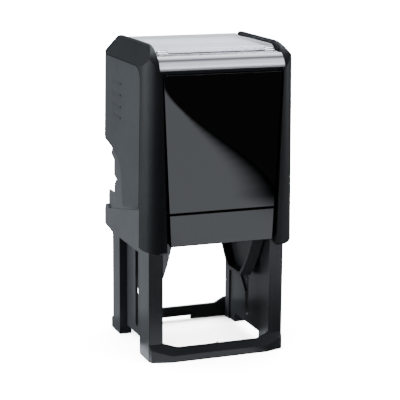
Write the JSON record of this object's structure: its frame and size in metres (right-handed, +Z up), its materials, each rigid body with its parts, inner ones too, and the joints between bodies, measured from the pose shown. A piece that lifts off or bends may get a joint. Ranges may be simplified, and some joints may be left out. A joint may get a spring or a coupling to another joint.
{
  "type": "self inking stamp",
  "caption": "Self-inking stamp: a sprung cap slides down over a four-column frame and swings a square rubber die from its ink pad to the paper.",
  "frame": {"origin": "centre of the footprint on the surface the stamp stands on", "axes": "+X to the stamp's right seen from the front, -Y towards the front, +Z up along the cap's travel"},
  "size_m": [0.0582, 0.0584, 0.114],
  "materials": {
    "frame_plastic": "dark grey moulded plastic, fine satin",
    "inner_plastic": "black moulded plastic",
    "tray_plastic": "black moulded plastic",
    "cap_plastic": "black semi-gloss plastic",
    "grip_plastic": "dark grey matte plastic, fine texture",
    "panel_gloss": "black high gloss",
    "strip_plastic": "dark grey semi-gloss",
    "spring_steel": "drawn spring wire",
    "ink_felt": "felt soaked with black ink",
    "card": "smooth white card",
    "clear_plastic": "clear moulded plastic",
    "carrier_plastic": "dark grey moulded plastic",
    "plate_plastic": "light grey plastic sheet",
    "cushion_foam": "closed-cell foam",
    "die_rubber": "engraved stamp rubber, inked"
  },
  "bodies": {
    "frame": {"base_frame": "frame_plastic", "top_bridge": "inner_plastic", "return_spring_left": "spring_steel", "return_spring_right": "spring_steel", "ink_tray": "tray_plastic", "ink_felt": "ink_felt"},
    "cap": {"cap_shell": "cap_plastic", "left_grip": "grip_plastic", "right_grip": "grip_plastic", "front_panel": "panel_gloss", "front_strip": "strip_plastic", "rear_panel": "panel_gloss", "yoke": "inner_plastic", "card_tray": "tray_plastic", "index_card": "card"},
    "window": {"index_window": "clear_plastic"},
    "carrier": {"type_carrier": "carrier_plastic", "text_plate": "plate_plastic", "die_cushion": "cushion_foam", "rubber_die": "die_rubber"}
  },
  "joints": [
    {"name": "cap_press", "type": "slide", "parent": "frame", "child": "cap", "axis": [0, 0, -1], "range_m": [0, 0.034], "stiffness_N_per_m": 250, "springref_m": -0.012, "deforming": ["return_spring_left", "return_spring_right", "ink_felt"]},
    {"name": "die_flip", "type": "hinge", "parent": "cap", "child": "carrier", "pos_m": [0, -0.00125, 0.042], "axis": [1, 0, 0], "range_deg": [0, 180]},
    {"name": "window_lift", "type": "slide", "parent": "cap", "child": "window", "axis": [0, 0, 1], "range_m": [0, 0.015]}
  ],
  "couplings": [
    {"joint": "die_flip", "follows": "cap_press", "rad_per_m": 92.39}
  ]
}
